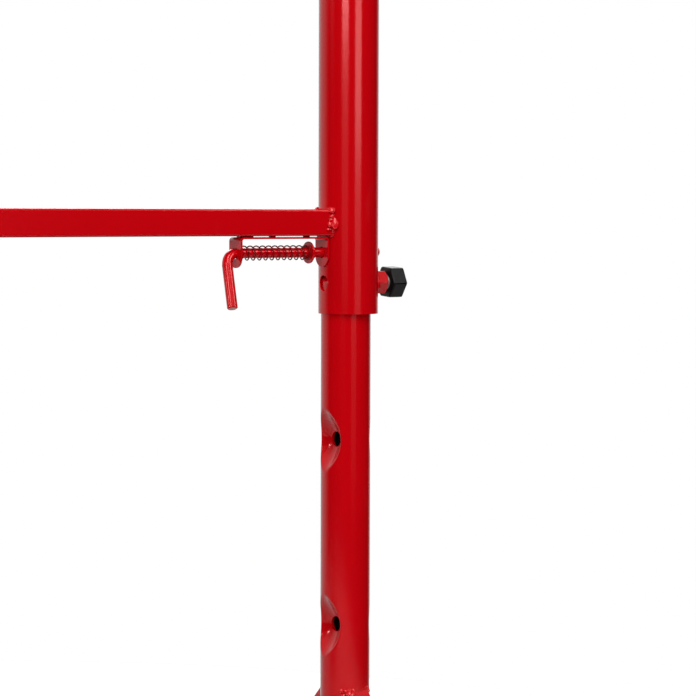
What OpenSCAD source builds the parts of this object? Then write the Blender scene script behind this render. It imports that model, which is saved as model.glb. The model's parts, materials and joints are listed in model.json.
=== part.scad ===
// Builders trestle: a welded upper frame on two telescopic legs.
// Each leg has a sprung lock pin through dimpled cross holes, and a clamp screw that takes up its play.
// Millimetres, Z up, X along the beam. The origin is on the floor, midway between the legs.

/* [Outer tubes] */
// Distance between the axes of the two outer tubes
tube_spacing = 1000; // [760:10:1400]
// Outside diameter of the outer tubes
outer_od = 48; // [46:0.5:54]
// Wall of the outer tubes
outer_wall = 1.5; // [1:0.1:2.5]
// Length of the outer tubes
outer_length = 570; // [520:5:700]

/* [Beam, rail and struts] */
// Width of the top beam across the trestle
beam_width = 50; // [40:1:80]
// Height of the top beam
beam_height = 30; // [20:1:60]
// Wall of the top beam
beam_wall = 2; // [1.5:0.1:3]
// Reach of the top beam past each tube axis
beam_overhang = 60; // [56:1:120]
// Side of the square lower rail
rail_size = 21.1; // [18:0.1:30]
// Wall of the lower rail and of the struts
rail_wall = 1.5; // [1:0.1:2.5]
// Underside of the lower rail above the rim of the outer tubes
rail_rise = 62.2; // [58:0.1:100]
// Side of the square struts
strut_size = 20; // [15:0.5:30]
// Distance between the two struts
strut_spacing = 300; // [100:5:500]
// Corner radius of the square and rectangular tubes
corner = 2; // [1:0.1:3]

/* [Legs] */
// Play of the leg in the outer tube, on the diameter
leg_play = 5; // [2:0.25:7]
// Wall of the leg tube
leg_wall = 2; // [1.5:0.1:2.5]
// Distance between two cross holes
hole_pitch = 150; // [120:1:160]
// Height of the lowest cross hole above the end of the leg tube
first_hole = 209; // [150:1:260]
// Length of the leg tube above its highest cross hole
leg_head = 41; // [40:1:80]
// Diameter of the cross holes
hole_d = 12.5; // [11:0.1:14]
// Radius of the bowl that is pressed in round each cross hole
dimple_radius = 20.5; // [18:0.5:22]
// Depth of that bowl
dimple_depth = 11.5; // [8:0.1:12]
// Length of the guide plug inside the leg tube
plug_length = 16; // [8:1:16]
// Thickness of the guide plug's rim on top of the leg tube
plug_rim = 3; // [2:0.5:5]

/* [Feet] */
// Length of the foot bars
foot_length = 600; // [450:10:800]
// Side of the square foot bars
foot_size = 40; // [30:1:50]
// Wall of the foot bars
foot_wall = 2; // [1.5:0.1:3]
// Side of the square braces
brace_size = 20; // [15:0.5:25]
// Wall of the braces
brace_wall = 1.5; // [1:0.1:2.5]
// Slope of the braces
brace_angle = 45; // [40:1:55]
// Room between the tops of the braces and the outer tube when the leg is pushed right in
brace_room = 4; // [3:0.5:60]

/* [Lock pins] */
// Diameter of the pin
pin_d = 8; // [6:0.5:9]
// Play of the pin in its holes, on the diameter
pin_play = 1; // [0.6:0.1:2]
// Height of the pin above the rim of the outer tubes
pin_rise = 49; // [46:0.5:50]
// Straight length of the handle, from its bend to its end
handle_length = 35.6; // [25:0.1:60]
// How much thicker than the pin the coated handle is, on the diameter
handle_coat = 0.3; // [0.2:0.05:1]
// Bend radius of the handle, at the middle of the rod
handle_bend = 10.5; // [8:0.5:12]
// Angle through which the rod is bent
bend_angle = 85.5; // [75:0.5:95]
// Turn of the handle towards the front
handle_turn = 21; // [0:1:30]
// Length of the bracket over both ears
bracket_length = 81; // [75:0.5:110]
// Width of the bracket's strip
strip_width = 18; // [15:0.5:24]
// Thickness of the bracket's strip
strip_t = 1.5; // [1:0.1:2.5]
// Outer bend radius of the bracket's strip
strip_bend = 3; // [2.8:0.1:4]
// Reach of the ears below the pin's axis
ear_drop = 11.5; // [9.5:0.5:16]
// Thickness of the weld spots that hold the strip to the rail
weld_spot_t = 0.8; // [0.4:0.1:1]
// Diameter of those weld spots
weld_spot_d = 5.5; // [4:0.5:10]
// Distance from the near end of the strip to its first weld spot
weld_start = 15.7; // [10:0.1:25]
// Distance from one weld spot to the next
weld_pitch = 31.6; // [15:0.1:40]
// Length of the weld seam at the far end of the strip
far_weld = 12; // [8:0.5:20]
// Outside diameter of the washer
washer_od = 17.5; // [15:0.5:20]
// Thickness of the washer
washer_t = 1.5; // [1:0.1:2.5]
// Outside diameter of the stop ring
stop_od = 11; // [10:0.5:14]
// Width of the stop ring
stop_width = 3.5; // [2:0.5:6]
// Distance from the stop ring to the near ear
stop_stand = 7.9; // [2:0.1:12]
// Outside diameter of the spring
spring_od = 12; // [11.5:0.1:14]
// Wire of the spring
spring_wire = 1.1; // [0.8:0.1:1.2]
// Curls of the spring
spring_curls = 11; // [8:1:14]

/* [Clamp screws] */
// Thread diameter of the clamp screws
screw_d = 12; // [8:0.5:12]
// Height of the clamp screws above the rim of the outer tubes
screw_rise = 24.5; // [18:0.5:28]
// Nut and bolt head, across the flats
hex_af = 18; // [17:0.5:20]
// Height of the weld nut
nut_height = 9.1; // [6:0.1:11]
// Height of the bolt head
head_height = 7.5; // [5:0.5:9]
// Distance from the outer tube to the underside of the bolt head
head_stand = 15.2; // [12:0.1:20]
// Plastic knob moulded round the bolt head, across the flats
cap_af = 24; // [23:0.5:30]
// Outer end wall of that knob
cap_end = 2.2; // [1.5:0.1:6]
// Inner end wall of that knob, round the screw
cap_back = 3.1; // [1:0.1:4]
// Chamfer round the ends of that knob
cap_chamfer = 0.8; // [0.4:0.1:1]
// Turn of that knob from the place where two of its flats are level
knob_turn = 4; // [0:1:30]

/* [Plastic end caps] */
// Thickness of the end caps outside the tubes
lid_t = 3; // [2:0.5:6]
// Reach of the end caps into the tubes
lid_reach = 18; // [10:1:30]
// Wall of the part of an end cap that is in the tube
lid_wall = 2; // [1.5:0.1:4]

/* [Fits] */
// Gap at a welded seat on a round tube
weld_gap = 0.05; // [0.02:0.01:0.1]
// Gap at a moving seat
slide_gap = 0.3; // [0.2:0.05:0.5]
// Gap at a pressed or pushed-on seat
push_gap = 0.1; // [0.05:0.01:0.2]

/* [Hidden] */
$fn = 96;
SIDES = [["right", 1], ["left", -1]];
ENDS = [["front", -1], ["back", 1]];
PAIRED = ["beam_end_cap", "outer_tube", "strut", "pin_bracket", "clamp_nut", "pin_spring", "pin_washer",
          "lock_pin", "pin_stop_ring", "clamp_bolt", "clamp_cap", "leg_top_plug", "leg_tube", "foot_bar",
          "brace_front", "brace_back", "foot_cap_front", "foot_cap_back"];
NODES = concat(["top_beam", "lower_rail"],
               [for (name = PAIRED) for (side = SIDES) str(name, "_", side[0])]);
node = "all";

RED = [0.72, 0.01, 0.04];
BLACK = [0.06, 0.06, 0.065];
ZINC = [0.66, 0.66, 0.63];
SPRING = [0.3, 0.06, 0.06];

// Heights of the four working positions come from the cross holes; the third one is pinned here.
hole_count = 4;
pinned_hole = 3;
sunk = 1;
least_corner = 0.4;
// Share of the half width across the flats at which a hexagon's chamfers start
chamfer_start = 0.98;

outer_r = outer_od / 2;
outer_bore_r = outer_r - outer_wall;
leg_r = outer_bore_r - leg_play / 2;
leg_bore_r = leg_r - leg_wall;
tube_x = tube_spacing / 2;
// The clamp screw presses the leg against the inner side of the outer tube
leg_x = tube_x - (outer_bore_r - leg_r - slide_gap);

leg_z = foot_size;
leg_length = first_hole + (hole_count - 1) * hole_pitch + leg_head;
brace_top = first_hole - pin_rise - brace_room;
pin_z = leg_z + first_hole + (pinned_hole - 1) * hole_pitch;
rim_z = pin_z - pin_rise;
screw_z = rim_z + screw_rise;
rail_z = rim_z + rail_rise;
tube_top_z = rim_z + outer_length;
leg_top_z = leg_z + leg_length;
beam_length = tube_spacing + 2 * beam_overhang;

pin_hole_d = pin_d + pin_play;
near_ear_x = tube_x - outer_r - weld_gap;
far_ear_x = near_ear_x - bracket_length;
stop_x = near_ear_x - strip_t - stop_stand - stop_width;
washer_x = stop_x - push_gap - washer_t;
// The shank ends short of the leg, so that the leg can slide and turn while the pin is home
pin_tip_x = leg_x - leg_r - slide_gap;
// The handle's bend stops against the far ear
bend_x = far_ear_x + strip_t;
pin_chamfer = 0.8;
// The handle starts inside the end of its bend
handle_lap = 0.5;

spring_x = far_ear_x + strip_t + push_gap;
spring_length = washer_x - push_gap - spring_x;
spring_r = (spring_od - spring_wire) / 2;
rings_per_curl = 8;
wire_sides = 6;

nut_x = tube_x + outer_r + weld_gap;
head_x = tube_x + outer_r + head_stand;
cap_x = head_x - push_gap - cap_back;
cap_length = cap_back + head_height + 2 * push_gap + cap_end;
screw_play = 0.4;

// Placement and profiles

module on_side(side) {
    if (side > 0) children();
    else mirror([1, 0, 0]) children();
}

module along_x() {
    rotate([90, 0, 90]) children();
}

module along_y() {
    rotate([90, 0, 0]) children();
}

module rounded_box(width, height, radius) {
    square([width - 2 * radius, height], center = true);
    square([width, height - 2 * radius], center = true);
    for (x = [-1, 1], y = [-1, 1])
        translate([x * (width / 2 - radius), y * (height / 2 - radius)])
            circle(r = radius);
}

module tube_section(width, height, wall) {
    inner_corner = max(corner - wall, least_corner);
    difference() {
        rounded_box(width, height, corner);
        rounded_box(width - 2 * wall, height - 2 * wall, inner_corner);
    }
}

module cross_hole(diameter, x, z, length) {
    translate([x, 0, z])
        rotate([0, 90, 0])
            cylinder(d = diameter, h = length, center = true);
}

// Hexagon along +X with two flats level, chamfered at its ends by the given amounts
module hexagon(flats, height, near_chamfer, far_chamfer) {
    corner_r = flats / 2 / cos(30);
    slope = tan(30);
    cut = corner_r - flats / 2 * chamfer_start;
    near = near_chamfer * cut;
    far = far_chamfer * cut;
    rotate([0, 90, 0])
        intersection() {
            rotate([0, 0, 30])
                cylinder(r = corner_r, h = height, $fn = 6);
            rotate_extrude()
                polygon([[0, 0], [corner_r - near, 0], [corner_r, near * slope], [corner_r, height - far * slope],
                         [corner_r - far, height], [0, height]]);
        }
}

// Plastic cap for the end of a square or rectangular tube, along +Z with the tube below it
module end_cap(width, height, wall) {
    color(BLACK) {
        linear_extrude(lid_t)
            rounded_box(width, height, corner);
        translate([0, 0, -lid_reach])
            linear_extrude(lid_reach + sunk)
                difference() {
                    rounded_box(width - 2 * (wall + push_gap), height - 2 * (wall + push_gap), corner);
                    square([width - 2 * (wall + push_gap + lid_wall), height - 2 * (wall + push_gap + lid_wall)],
                           center = true);
                }
    }
}

// Upper frame

module top_beam() {
    color(RED)
        translate([-beam_length / 2, 0, tube_top_z + beam_height / 2])
            along_x()
                linear_extrude(beam_length)
                    tube_section(beam_width, beam_height, beam_wall);
}

module beam_end_cap(side) {
    on_side(side)
        translate([beam_length / 2, 0, tube_top_z + beam_height / 2])
            along_x()
                end_cap(beam_width, beam_height, beam_wall);
}

module outer_tube(side) {
    color(RED)
        on_side(side)
            difference() {
                translate([tube_x, 0, rim_z])
                    cylinder(r = outer_r, h = outer_length);
                translate([tube_x, 0, rim_z - sunk])
                    cylinder(r = outer_bore_r, h = outer_length + 2 * sunk);
                cross_hole(pin_hole_d, tube_x, pin_z, 2 * outer_od);
                cross_hole(screw_d + screw_play, tube_x, screw_z, 2 * outer_od);
            }
}

module lower_rail() {
    color(RED)
        difference() {
            translate([-tube_x, 0, rail_z + rail_size / 2])
                along_x()
                    linear_extrude(tube_spacing)
                        tube_section(rail_size, rail_size, rail_wall);
            for (side = [-1, 1])
                translate([side * tube_x, 0, rail_z - sunk])
                    cylinder(r = outer_r + weld_gap, h = rail_size + 2 * sunk);
        }
}

module strut(side) {
    strut_z = rail_z + rail_size;
    color(RED)
        on_side(side)
            translate([strut_spacing / 2, 0, strut_z])
                linear_extrude(tube_top_z - strut_z)
                    tube_section(strut_size, strut_size, rail_wall);
}

// Bent strip of the bracket, seen from the front, with the top of its web on the X axis
module bracket_bend() {
    tall = 2 * (rail_rise - pin_rise + ear_drop);
    difference() {
        translate([0, -tall / 2])
            rounded_box(bracket_length, tall, strip_bend);
        translate([0, -strip_t - tall / 2])
            rounded_box(bracket_length - 2 * strip_t, tall, strip_bend - strip_t);
    }
}

// Outline of an ear, seen along X, with the pin's axis at its origin
module ear_outline() {
    round_y = strip_width / 2 - ear_drop;
    translate([-strip_width / 2, round_y])
        square([strip_width, rail_rise]);
    translate([0, round_y])
        circle(d = strip_width);
}

module pin_bracket(side) {
    web_z = rail_z - weld_spot_t;
    middle_x = near_ear_x - bracket_length / 2;
    color(RED)
        on_side(side) {
            difference() {
                intersection() {
                    translate([middle_x, strip_width / 2, web_z])
                        along_y()
                            linear_extrude(strip_width)
                                bracket_bend();
                    translate([far_ear_x - sunk, 0, pin_z])
                        along_x()
                            linear_extrude(bracket_length + 2 * sunk)
                                ear_outline();
                }
                cross_hole(pin_hole_d, middle_x, pin_z, bracket_length + 2 * sunk);
            }
            for (place = [0, 1])
                translate([near_ear_x - weld_start - place * weld_pitch, 0, web_z])
                    cylinder(d = weld_spot_d, h = weld_spot_t);
            translate([far_ear_x + strip_bend, -weld_spot_d / 2, web_z])
                cube([far_weld, weld_spot_d, weld_spot_t]);
        }
}

module clamp_nut(side) {
    color(RED)
        on_side(side)
            difference() {
                translate([nut_x, 0, screw_z])
                    hexagon(hex_af, nut_height, 0, 1);
                cross_hole(screw_d + screw_play, nut_x, screw_z, 4 * nut_height);
            }
}

// Lock pin

module pin_washer(side) {
    color(RED)
        on_side(side)
            difference() {
                translate([washer_x, 0, pin_z])
                    rotate([0, 90, 0])
                        cylinder(d = washer_od, h = washer_t);
                cross_hole(pin_d + 2 * push_gap, washer_x, pin_z, 4 * washer_t);
            }
}

module pin_stop_ring(side) {
    color(RED)
        on_side(side)
            translate([stop_x, 0, pin_z])
                rotate([0, 90, 0])
                    rotate_extrude() {
                        inner = pin_d / 2 + push_gap / 2;
                        outer = stop_od / 2;
                        polygon([[inner, 0], [outer, 0], [outer, stop_width - (outer - inner) / 2],
                                 [outer - (outer - inner) / 2, stop_width], [inner, stop_width]]);
                    }
}

// Straight rod along +Z with a small chamfer at its far end
module rod(diameter, length) {
    cylinder(d = diameter, h = length - pin_chamfer);
    translate([0, 0, length - pin_chamfer])
        cylinder(r1 = diameter / 2, r2 = diameter / 2 - pin_chamfer, h = pin_chamfer);
}

module lock_pin(side) {
    color(RED)
        on_side(side)
            translate([bend_x, 0, pin_z])
                rotate([-handle_turn, 0, 0]) {
                    rotate([0, 90, 0])
                        rod(pin_d, pin_tip_x - bend_x);
                    translate([0, 0, -handle_bend]) {
                        rotate([90, 0, 0])
                            rotate([0, 0, 90])
                                rotate_extrude(angle = bend_angle)
                                    translate([handle_bend, 0])
                                        circle(d = pin_d);
                        rotate([0, 90 - bend_angle, 0])
                            translate([-handle_bend, 0, handle_lap])
                                rotate([180, 0, 0])
                                    rod(pin_d + handle_coat, handle_length + handle_lap);
                    }
                }
}

// Spring: one tube swept along a helix, with straight ends square to the ear and to the washer

function helix_point(k) =
    let (turns = k / rings_per_curl, angle = 360 * turns)
    [spring_wire + (spring_length - 2 * spring_wire) * turns / spring_curls,
     spring_r * cos(angle), spring_r * sin(angle)];

helix_last = spring_curls * rings_per_curl;
spring_path = concat([[0, spring_r, 0]],
                     [for (k = [0 : helix_last]) helix_point(k)],
                     [[spring_length, spring_r, 0]]);

function path_direction(k) =
    k <= 1 || k >= len(spring_path) - 2 ? [1, 0, 0] :
    let (step = spring_path[k + 1] - spring_path[k - 1])
    step / norm(step);

function ring_points(k) =
    let (centre = spring_path[k],
         out = [0, centre[1], centre[2]] / spring_r,
         forward = path_direction(k),
         side = cross(forward, out))
    [for (j = [0 : wire_sides - 1])
        centre + spring_wire / 2 * (cos(360 * j / wire_sides) * out + sin(360 * j / wire_sides) * side)];

function wall_faces(k) =
    [for (j = [0 : wire_sides - 1])
        let (a = k * wire_sides + j,
             b = k * wire_sides + (j + 1) % wire_sides)
        each [[a, b, a + wire_sides], [b, b + wire_sides, a + wire_sides]]];

spring_points = [for (k = [0 : len(spring_path) - 1]) each ring_points(k)];
spring_faces = concat([for (j = [1 : wire_sides - 2]) [0, j + 1, j]],
                      [for (k = [0 : len(spring_path) - 2]) each wall_faces(k)],
                      [for (j = [1 : wire_sides - 2])
                          let (first = (len(spring_path) - 1) * wire_sides)
                          [first, first + j, first + j + 1]]);

// Least gap between curls, measured between points more than half a curl apart along the wire
spring_gap = min([for (k = [0 : helix_last], m = [k + rings_per_curl / 2 : helix_last + 2])
                  norm(spring_path[k] - spring_path[m])]) - spring_wire;
echo(least_gap_of_the_spring_to_itself = spring_gap);

module pin_spring(side) {
    color(SPRING)
        on_side(side)
            translate([spring_x, 0, pin_z])
                polyhedron(spring_points, spring_faces);
}

// Clamp screw

module clamp_bolt(side) {
    tip_x = leg_x + leg_r + slide_gap;
    color(ZINC)
        on_side(side) {
            translate([tip_x, 0, screw_z])
                rotate([0, 90, 0])
                    cylinder(d = screw_d, h = head_x - tip_x + sunk);
            translate([head_x, 0, screw_z])
                rotate([knob_turn, 0, 0])
                    hexagon(hex_af, head_height, 0, 1);
        }
}

// One pair of the knob's flats, chamfered at both ends, along +X
module knob_band() {
    half = cap_af / 2;
    along_y()
        linear_extrude(2 * cap_af, center = true)
            polygon([[0, -half + cap_chamfer], [cap_chamfer, -half], [cap_length - cap_chamfer, -half],
                     [cap_length, -half + cap_chamfer], [cap_length, half - cap_chamfer],
                     [cap_length - cap_chamfer, half], [cap_chamfer, half], [0, half - cap_chamfer]]);
}

module knob_shape() {
    intersection() {
        knob_band();
        rotate([60, 0, 0])
            knob_band();
        rotate([120, 0, 0])
            knob_band();
    }
}

module clamp_cap(side) {
    color(BLACK)
        on_side(side)
            difference() {
                translate([cap_x, 0, screw_z])
                    rotate([knob_turn, 0, 0])
                        knob_shape();
                translate([head_x - push_gap, 0, screw_z])
                    rotate([knob_turn, 0, 0])
                        hexagon(hex_af + 2 * push_gap, head_height + 2 * push_gap, 0, 0);
                cross_hole(screw_d + 2 * push_gap, cap_x, screw_z, 4 * cap_back);
            }
}

// Leg

module leg_top_plug(side) {
    inner = leg_bore_r - push_gap - lid_wall;
    color(BLACK)
        on_side(side)
            translate([leg_x, 0, leg_top_z + push_gap])
                rotate_extrude()
                    polygon([[inner, -plug_length], [inner + lid_wall, -plug_length], [inner + lid_wall, 0],
                             [leg_r, 0], [leg_r, plug_rim / 2], [leg_r - plug_rim / 2, plug_rim], [0, plug_rim],
                             [0, 0], [inner, 0]]);
}

// Ball that presses a dimple into one side of the leg, grown by the tube's wall where asked
module dimple_ball(way, z, grow) {
    translate([way * (leg_r - dimple_depth + dimple_radius), 0, z])
        sphere(r = dimple_radius + grow);
}

module leg_tube(side) {
    hole_heights = [for (k = [0 : hole_count - 1]) first_hole + k * hole_pitch];
    color(RED)
        on_side(side)
            translate([leg_x, 0, leg_z])
                difference() {
                    union() {
                        difference() {
                            cylinder(r = leg_r, h = leg_length);
                            translate([0, 0, -sunk])
                                cylinder(r = leg_bore_r, h = leg_length + 2 * sunk);
                        }
                        for (z = hole_heights, way = [-1, 1])
                            intersection() {
                                translate([0, 0, z - 2 * dimple_radius])
                                    cylinder(r = leg_r, h = 4 * dimple_radius);
                                dimple_ball(way, z, leg_wall);
                            }
                    }
                    for (z = hole_heights) {
                        for (way = [-1, 1])
                            dimple_ball(way, z, 0);
                        cross_hole(hole_d, 0, z, 2 * outer_od);
                    }
                }
}

module foot_bar(side) {
    color(RED)
        on_side(side)
            translate([leg_x, foot_length / 2, foot_size / 2])
                along_y()
                    linear_extrude(foot_length)
                        tube_section(foot_size, foot_size, foot_wall);
}

module foot_cap(side, end) {
    on_side(side)
        translate([leg_x, end * foot_length / 2, foot_size / 2])
            rotate([-end * 90, 0, 0])
                end_cap(foot_size, foot_size, foot_wall);
}

module brace(side, end) {
    axis_z = leg_z + brace_top - brace_size / 2 / cos(brace_angle) + leg_r * tan(brace_angle);
    reach = (axis_z - leg_z) / sin(brace_angle) + brace_size;
    color(RED)
        on_side(side)
            difference() {
                translate([leg_x, 0, axis_z])
                    rotate([-end * (90 + brace_angle), 0, 0])
                        linear_extrude(reach)
                            tube_section(brace_size, brace_size, brace_wall);
                translate([leg_x, 0, leg_z - sunk])
                    cylinder(r = leg_r + weld_gap, h = leg_length);
                translate([leg_x, 0, leg_z - 2 * brace_size])
                    cube([2 * brace_size, 2 * foot_length, 4 * brace_size], center = true);
            }
}

// Every node by its name

function shown(name) = node == "all" || node == name;
function sided(name, side) = shown(str(name, "_", side[0]));

if (shown("top_beam")) top_beam();
if (shown("lower_rail")) lower_rail();
for (side = SIDES) {
    if (sided("beam_end_cap", side)) beam_end_cap(side[1]);
    if (sided("outer_tube", side)) outer_tube(side[1]);
    if (sided("strut", side)) strut(side[1]);
    if (sided("pin_bracket", side)) pin_bracket(side[1]);
    if (sided("clamp_nut", side)) clamp_nut(side[1]);
    if (sided("pin_spring", side)) pin_spring(side[1]);
    if (sided("pin_washer", side)) pin_washer(side[1]);
    if (sided("lock_pin", side)) lock_pin(side[1]);
    if (sided("pin_stop_ring", side)) pin_stop_ring(side[1]);
    if (sided("clamp_bolt", side)) clamp_bolt(side[1]);
    if (sided("clamp_cap", side)) clamp_cap(side[1]);
    if (sided("leg_top_plug", side)) leg_top_plug(side[1]);
    if (sided("leg_tube", side)) leg_tube(side[1]);
    if (sided("foot_bar", side)) foot_bar(side[1]);
    for (end = ENDS) {
        if (sided(str("brace_", end[0]), side)) brace(side[1], end[1]);
        if (sided(str("foot_cap_", end[0]), side)) foot_cap(side[1], end[1]);
    }
}
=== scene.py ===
# %% [markdown]
# # A builders trestle in red powder coat
# The trestle's steel exists already as exact solids, and each solid belongs to a body that can move: the
# legs slide and swivel, the lock pins pull and turn, and the clamp screws turn. This lesson loads those
# solids as a fixed frame. It then adds what plain solids leave out: dimples with soft rims, a wound spring,
# weld beads, a screw thread and the finishes. Nothing of the frame is moved or resized on the way.

# %% Load the frame
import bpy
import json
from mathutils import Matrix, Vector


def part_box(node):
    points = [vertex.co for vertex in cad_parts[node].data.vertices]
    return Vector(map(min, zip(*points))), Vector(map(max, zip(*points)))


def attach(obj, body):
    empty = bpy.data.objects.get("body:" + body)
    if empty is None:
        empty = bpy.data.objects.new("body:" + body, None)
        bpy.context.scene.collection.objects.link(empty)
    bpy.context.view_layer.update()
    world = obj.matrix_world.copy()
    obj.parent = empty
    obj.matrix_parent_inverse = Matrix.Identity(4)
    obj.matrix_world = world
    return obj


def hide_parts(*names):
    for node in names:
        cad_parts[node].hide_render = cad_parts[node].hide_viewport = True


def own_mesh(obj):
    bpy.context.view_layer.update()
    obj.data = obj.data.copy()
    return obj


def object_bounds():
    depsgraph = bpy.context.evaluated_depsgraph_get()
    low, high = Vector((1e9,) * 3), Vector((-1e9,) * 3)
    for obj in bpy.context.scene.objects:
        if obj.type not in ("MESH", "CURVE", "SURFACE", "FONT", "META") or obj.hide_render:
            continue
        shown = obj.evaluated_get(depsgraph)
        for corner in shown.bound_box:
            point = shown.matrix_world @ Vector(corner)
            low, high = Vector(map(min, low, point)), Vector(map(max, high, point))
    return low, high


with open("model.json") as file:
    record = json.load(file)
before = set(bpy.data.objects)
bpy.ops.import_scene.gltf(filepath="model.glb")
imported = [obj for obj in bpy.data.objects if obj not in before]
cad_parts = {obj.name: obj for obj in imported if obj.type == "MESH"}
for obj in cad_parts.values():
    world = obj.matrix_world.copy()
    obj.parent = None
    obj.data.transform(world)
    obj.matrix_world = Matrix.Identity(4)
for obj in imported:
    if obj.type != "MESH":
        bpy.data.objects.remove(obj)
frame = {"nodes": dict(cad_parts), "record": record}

cad_low, cad_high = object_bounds()

# %% [markdown]
# ## The camera
# The portrait shows one leg joint from the front left, a little from above, through a long lens. The edges
# of the tubes, the rail and the row of cross holes were enough to work out the direction, the distance and
# the lens. A camera can be aimed with a constraint, but a matrix made of its three axes also holds the
# slight roll, and it leaves nothing to solve later.

# %% Place the camera
import bpy
import math
from mathutils import Matrix, Vector

IMAGE_SIDE = 696
FOCAL_PIXELS = 2066.4
SENSOR_WIDTH = 36
AZIMUTH = math.radians(-33.543)
PITCH = math.radians(3.796)
ROLL = math.radians(0.156)
DISTANCE = 1.6615
AIM_BELOW_RIM = 0.02805


def middle(node):
    """Middle of a solid's box."""
    low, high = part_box(node)
    return (low + high) / 2


def towards(azimuth, elevation):
    """Unit vector that points from the object to where somebody stands."""
    flat = math.cos(elevation)
    return Vector((math.sin(azimuth) * flat, -math.cos(azimuth) * flat, math.sin(elevation)))


rim_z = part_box("outer_tube_right")[0].z
tube_axis = middle("outer_tube_right")
aim = Vector((tube_axis.x, tube_axis.y, rim_z - AIM_BELOW_RIM))
back = towards(AZIMUTH, PITCH)
level = Vector((math.cos(AZIMUTH), math.sin(AZIMUTH), 0))
right = math.cos(ROLL) * level + math.sin(ROLL) * back.cross(level)
lens = bpy.data.cameras.new("portrait_camera")
lens.sensor_width = SENSOR_WIDTH
lens.lens = FOCAL_PIXELS / IMAGE_SIDE * lens.sensor_width
camera = bpy.data.objects.new("portrait_camera", lens)
bpy.context.scene.collection.objects.link(camera)
axes = Matrix((right, back.cross(right), back)).transposed().to_4x4()
camera.matrix_world = Matrix.Translation(aim + DISTANCE * back) @ axes
bpy.context.scene.camera = camera
print("camera at", [round(v, 3) for v in camera.matrix_world.translation], "lens", round(lens.lens, 1), "mm")

# %% [markdown]
# ## A white studio
# The trestle stands in front of plain white. White could come from strong lamps, but those would wash out
# the red. So the camera sees a white world, gloss sees white only behind the object, where the backdrop
# hangs, and overhead, and everything else gets a weak fill. The backdrop then shows as pale lines along the
# edges of the tubes, while their middles stay deep red.

# %% Short names for shader nodes


def add_node(tree, kind, inputs=None, **settings):
    """One shader node, with its inputs set to values or linked to other nodes' outputs."""
    node = tree.nodes.new(kind)
    for name, value in settings.items():
        setattr(node, name, value)
    for socket, value in (inputs or {}).items():
        if isinstance(value, bpy.types.NodeSocket):
            tree.links.new(value, node.inputs[socket])
        else:
            node.inputs[socket].default_value = value
    return node


def maths(tree, operation, a, b, clamp=False):
    """Result of a sum with two values."""
    return add_node(tree, "ShaderNodeMath", {0: a, 1: b}, operation=operation, use_clamp=clamp).outputs[0]


def soft_step(tree, value, edges, low, high):
    """Value that goes softly from low to high while another passes from one edge to the next."""
    settings = {"Value": value, "From Min": edges[0], "From Max": edges[1], "To Min": low, "To Max": high}
    return add_node(tree, "ShaderNodeMapRange", settings, interpolation_type="SMOOTHSTEP").outputs[0]


print("helpers:", [helper.__name__ for helper in (add_node, maths, soft_step)])

# %% Make the world
BACKDROP = towards(math.radians(172), 0)
BACKDROP_EDGES = (0.25, 0.72)
BACKDROP_GLOSS = 0.9
CEILING_EDGES = (0.3, 0.75)
CEILING_GLOSS = 0.8
FRONT_GLOSS = 0.01
FILL_LIGHT = 0.06

world = bpy.data.worlds.new("white_studio")
bpy.context.scene.world = world
world.use_nodes = True
sky = world.node_tree
sky.nodes.clear()
ray = add_node(sky, "ShaderNodeLightPath").outputs
direction = add_node(sky, "ShaderNodeTexCoord").outputs["Generated"]
facing = add_node(sky, "ShaderNodeVectorMath", {0: direction, 1: BACKDROP}, operation="DOT_PRODUCT")
height = add_node(sky, "ShaderNodeSeparateXYZ", {0: direction})
backdrop = soft_step(sky, facing.outputs["Value"], BACKDROP_EDGES, FRONT_GLOSS, BACKDROP_GLOSS)
ceiling = soft_step(sky, height.outputs["Z"], CEILING_EDGES, FRONT_GLOSS, CEILING_GLOSS)
gloss_shade = maths(sky, "MAXIMUM", backdrop, ceiling)
mirrored = maths(sky, "MAXIMUM", ray["Is Glossy Ray"], ray["Is Transmission Ray"])
unseen = add_node(sky, "ShaderNodeMix", {0: mirrored, 2: FILL_LIGHT, 3: gloss_shade})
shade = add_node(sky, "ShaderNodeMix", {0: ray["Is Camera Ray"], 2: unseen.outputs[0], 3: 1.0})
studio = add_node(sky, "ShaderNodeBackground", {"Strength": shade.outputs[0], "Color": (1, 1, 1, 1)})
add_node(sky, "ShaderNodeOutputWorld", {"Surface": studio.outputs[0]})
bpy.context.scene.view_settings.view_transform = "Standard"
print("world: fill light", FILL_LIGHT, "and gloss", FRONT_GLOSS, "in front,", BACKDROP_GLOSS, "behind")

# %% [markdown]
# ## The floor
# The floor has to be as white as the background and still carry the shadow of the feet. A diffuse white
# disc takes the shadow. Towards its rim it gets a light of its own, which only the camera sees, so that it
# runs out into the background without an edge. The frame of this model stays where it is, so a leg that
# slides out goes down through the floor. The camera therefore sees half through the disc, and the foot
# still shows. From below the disc is clear. To light that scatters, the same floor is grey: a white one
# would light the trestle from below.

# %% Lay the floor
import bmesh

FLOOR_RADIUS = 1.25
FLOOR_SEGMENTS = 96
FLOOR_GAP = 0.0003

floor_mesh = bpy.data.meshes.new("studio_floor")
disc = bmesh.new()
bmesh.ops.create_circle(disc, cap_ends=True, segments=FLOOR_SEGMENTS, radius=FLOOR_RADIUS)
disc.to_mesh(floor_mesh)
disc.free()
floor = bpy.data.objects.new("studio_floor", floor_mesh)
floor.location.z = cad_low.z - FLOOR_GAP
bpy.context.scene.collection.objects.link(floor)
print("floor: radius", FLOOR_RADIUS, "m")

# %% Cover the floor with paper
PAPER_SHADES = ((0.86, 0.86, 0.86, 1), (0.9, 0.9, 0.9, 1))
PAPER_BOUNCE = (0.3, 0.3, 0.3, 1)
FIBRE_SCALE = 40.0
FADE_START = 0.6
RIM_LIFT = 0.5
FLOOR_CLEAR = 0.5


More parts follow.
